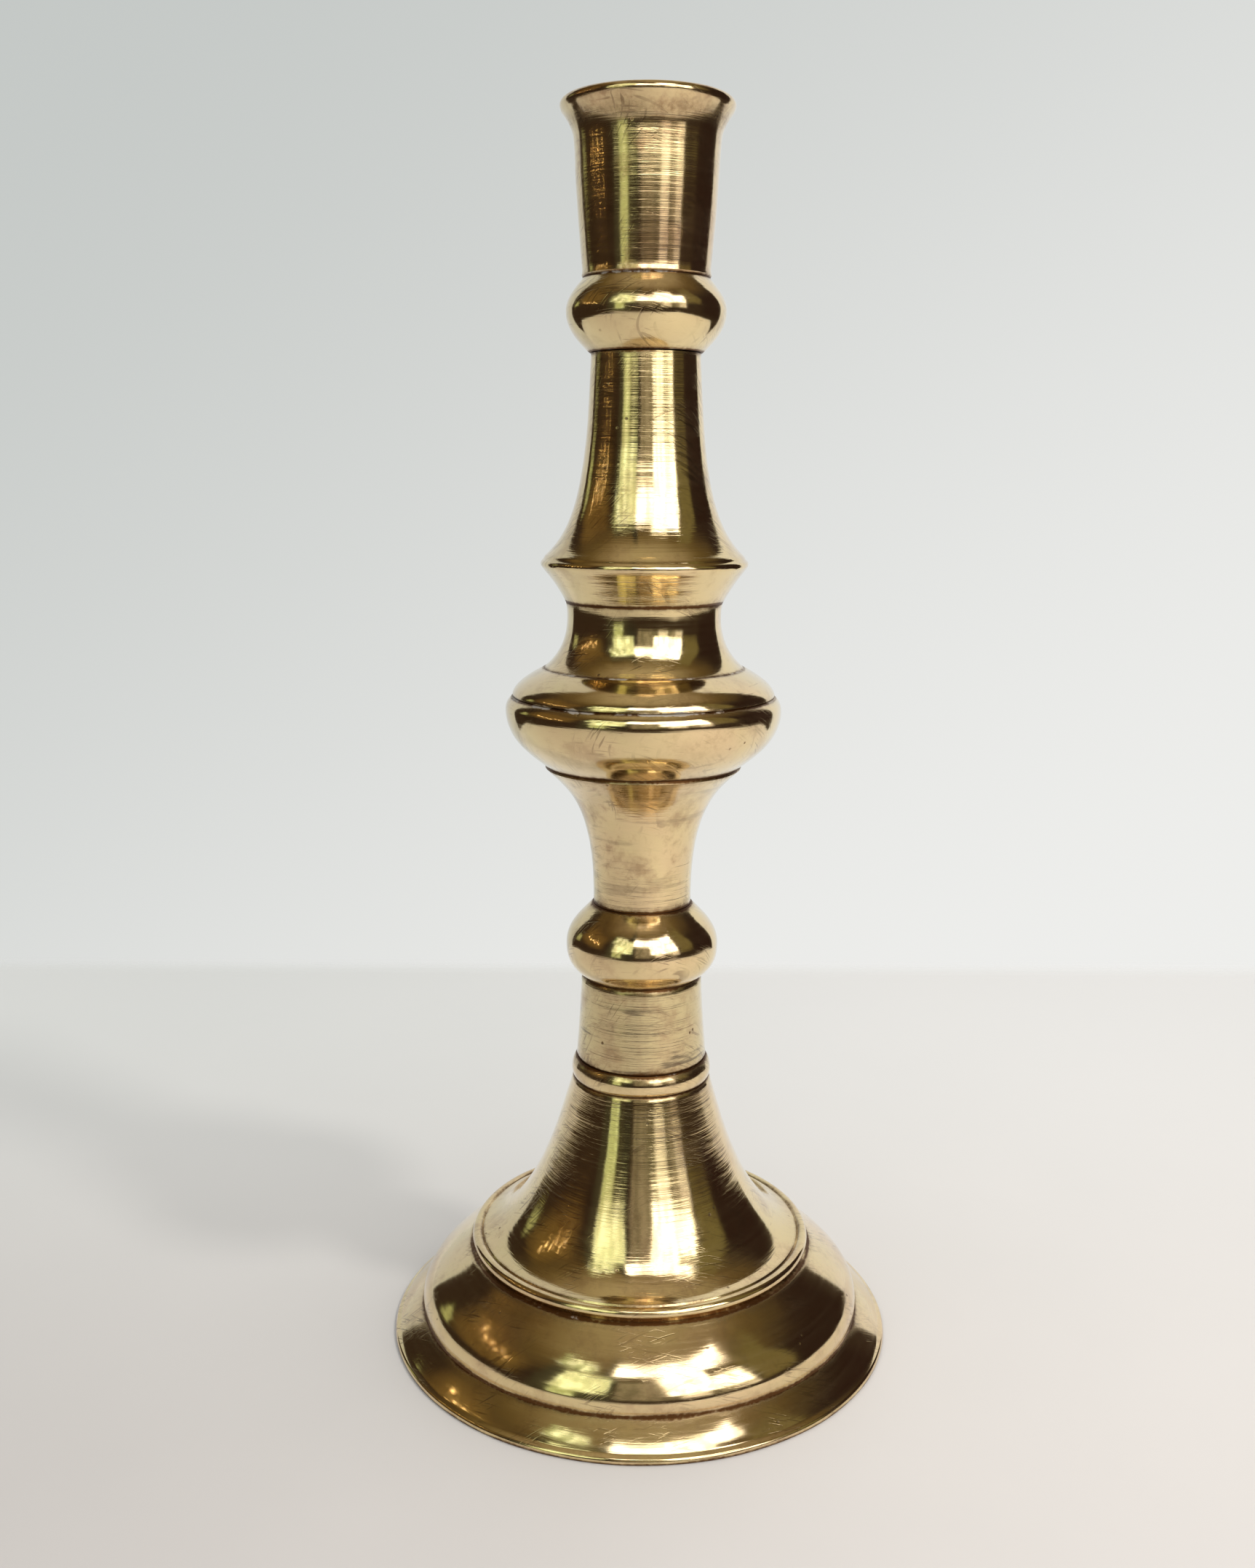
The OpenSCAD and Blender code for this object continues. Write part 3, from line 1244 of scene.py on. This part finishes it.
    def _bulbs(self) -> None:
        """A few small warm lamps far to the left."""
        bm = bmesh.new()
        for side, high in self.lamps:
            a = math.radians(side)
            x, y = self.lamp_far * math.sin(a), -self.lamp_far * math.cos(a)
            at = Matrix.Translation((x, y, high))
            bmesh.ops.create_icosphere(bm, subdivisions=2, radius=self.lamp_size, matrix=at)
        made, s = bare_material("warm_lamp")
        glow = s.add("ShaderNodeEmission", Color=(1.0, 0.72, 0.36), Strength=14.0)
        s.feed(made.node_tree.nodes["Material Output"].inputs["Surface"], glow.outputs[0])
        unseen(finished(bm, "lamps", made))

    def _room(self) -> None:
        """Pale studio to the eye and to matt surfaces, a dim room to reflections."""
        world = bpy.data.worlds.new("room")
        world.use_nodes = True
        bpy.context.scene.world = world
        s = Sheet(world.node_tree)
        out = world.node_tree.nodes["World Output"]
        back = world.node_tree.nodes["Background"]
        at = s.add("ShaderNodeTexCoord").outputs["Generated"]
        split = s.add("ShaderNodeSeparateXYZ", Vector=at)
        x, y, z = (split.outputs[k] for k in "XYZ")
        side = s.times(s.math("ARCTAN2", x, s.times(y, -1.0)), DEGREES)
        rise = s.times(s.math("ARCSINE", z), DEGREES)
        wavy = s.times(s.math("SUBTRACT", s.grain(at, 3.0, 3.0), 0.5), 14.0)
        side, rise = s.total(side, wavy), s.total(rise, wavy)
        colour = (0.035, 0.022, 0.014)
        for patch in (
            RoomPatch((-200, 200), (30, 120), (0.15, 0.105, 0.04), (1, 34)),
            RoomPatch((-200, 200), (52, 120), (0.42, 0.36, 0.24), (1, 30)),
            RoomPatch((58, 88), (6, 60), (0.17, 0.145, 0.06), (6, 12)),
            RoomPatch((84, 132), (-20, 40), (0.022, 0.010, 0.007), (8, 16)),
            RoomPatch((-118, -60), (8, 50), (0.15, 0.098, 0.035), (14, 14)),
            RoomPatch((-122, -111), (6, 20), (0.42, 0.46, 0.22), (3, 4)),
            RoomPatch((-60, -20), (-20, 60), (0.05, 0.045, 0.028), (6, 14)),
            RoomPatch((-26, -12), (-10, 70), (0.035, 0.032, 0.022), (4, 14)),
        ):
            inside = s.times(
                s.band(side, patch.side, patch.soft[0]), s.band(rise, patch.rise, patch.soft[1])
            )
            colour = s.mix(inside, colour, patch.colour)
        way = s.add("ShaderNodeLightPath")
        shade = s.total(s.times(x, 0.42), s.times(z, -0.55))
        pale = s.mix(s.smooth(shade, -0.34, 0.34), (0.55, 0.575, 0.56), (0.86, 0.86, 0.84))
        soft = s.mix(s.smooth(x, -0.7, 0.7), (0.55, 0.57, 0.58), (1.28, 1.25, 1.22))
        seen = s.mix(way.outputs["Is Glossy Ray"], soft, colour)
        seen = s.mix(way.outputs["Is Camera Ray"], seen, pale)
        s.feed(back.inputs["Color"], seen)
        s.feed(out.inputs["Surface"], back.outputs[0])

    def _key(self) -> None:
        """Soft light from the right that casts the shadow."""
        a, e = math.radians(self.key_side), math.radians(self.key_rise)
        way = Vector((math.sin(a) * math.cos(e), -math.cos(a) * math.cos(e), math.sin(e)))
        data = bpy.data.lights.new("key", "AREA")
        data.shape = "DISK"
        data.size = 0.11
        data.energy = self.key_power
        data.color = (1.0, 0.97, 0.93)
        light = bpy.data.objects.new("key", data)
        light.location = Vector((0, 0, 0.1)) + way
        light.rotation_mode = "QUATERNION"
        light.rotation_quaternion = way.to_track_quat("Z", "Y")
        light.visible_glossy = False
        bpy.context.scene.collection.objects.link(light)

    def _camera(self) -> None:
        """Eye a little above the middle, looking slightly down."""
        tilt, roll = math.radians(self.tilt), math.radians(self.roll)
        ahead = Vector((0, math.cos(tilt), -math.sin(tilt)))
        up = Vector((0, math.sin(tilt), math.cos(tilt)))
        right = Vector((1, 0, 0))
        cos, sin = math.cos(roll), math.sin(roll)
        right, up = right * cos + up * sin, up * cos - right * sin
        data = bpy.data.cameras.new("eye")
        data.lens = self.lens
        data.sensor_width = 36.0
        data.clip_start = 0.01
        camera = bpy.data.objects.new("eye", data)
        turn = Matrix((right, up, -ahead)).transposed().to_4x4()
        camera.matrix_world = Matrix.Translation(self.eye) @ turn
        bpy.context.scene.collection.objects.link(camera)
        bpy.context.scene.camera = camera


# ---------------------------------------------------------------- candlestick


@dataclass
class Candlestick:
    """The whole candlestick, from the cup down to the foot."""

    def sections(self) -> list[TurnedPiece]:
        """Turned pieces with the dirt in their seams and painted shade in the gap under the lower
        knop.

        Returns:
            The pieces from top to bottom.
        """
        under_lip = Crease(18.4, 294.5, 3.4, 0.42)
        under_cup = Crease(14.7, 261.6, 0.6, 0.8, 0.5)
        over_stem = Crease(13.0, 245.2, 0.7, 0.9, 0.5)
        under_stem = Crease(18.8, 187.7, 0.6, 1.0, 0.2)
        over_cap = Crease(24.1, 171.9, 0.6, 0.7, 0.6)
        cap_line = Crease(31.8, 165.1, 0.6, 0.8, 0.75)
        under_bulb = Crease(24.0, 148.4, 0.9, 1.0, 0.3)
        over_knop = Crease(12.2, 113.2, 0.7, 1.0, 0.2)
        # painted shade: the dark line in the gap under the lower knop
        shade_under_knop = Crease(14.6, 94.7, 0.7, 1.0)
        over_bead = Crease(16.2, 73.0, 0.7, 1.0, 0.4)
        over_bell = Crease(17.1, 67.8, 0.5, 0.8, 0.2)
        bell_foot = Crease(41.0, 26.0, 0.7, 0.6)
        over_foot = Crease(43.6, 23.0, 0.7, 1.0, 0.4)
        groove = Crease(56.3, 7.1, 0.8, 0.85, 0.1)
        stand = Crease(63.6, 0.2, 0.6, 0.7)
        return [
            CandleCup([under_cup, under_lip]),
            UpperKnop([under_cup, over_stem]),
            UpperStem([over_stem, under_stem]),
            Waist([under_stem, over_cap]),
            BulbCap([over_cap, cap_line]),
            Bulb([cap_line, under_bulb]),
            Trumpet([under_bulb, over_knop]),
            LowerKnop([over_knop, shade_under_knop]),
            Neck([shade_under_knop, over_bead]),
            NeckBead([over_bead, over_bell]),
            Bell([over_bell, bell_foot, over_foot]),
            Foot([over_foot, groove, stand]),
        ]

    def build(self) -> None:
        """Builds the brass pieces and dresses the fixings."""
        made = {state: state.value.build() for state in Brass}
        for piece in self.sections():
            piece.build(made)
        Fixings().dress(SteelFinish().build())


def main() -> None:
    """Builds the studio and the candlestick."""
    logging.basicConfig(level=logging.INFO, format="%(name)s %(message)s")
    bpy.context.scene.view_settings.view_transform = "Standard"
    Studio().build()
    Candlestick().build()


if __name__ == "__main__":
    main()
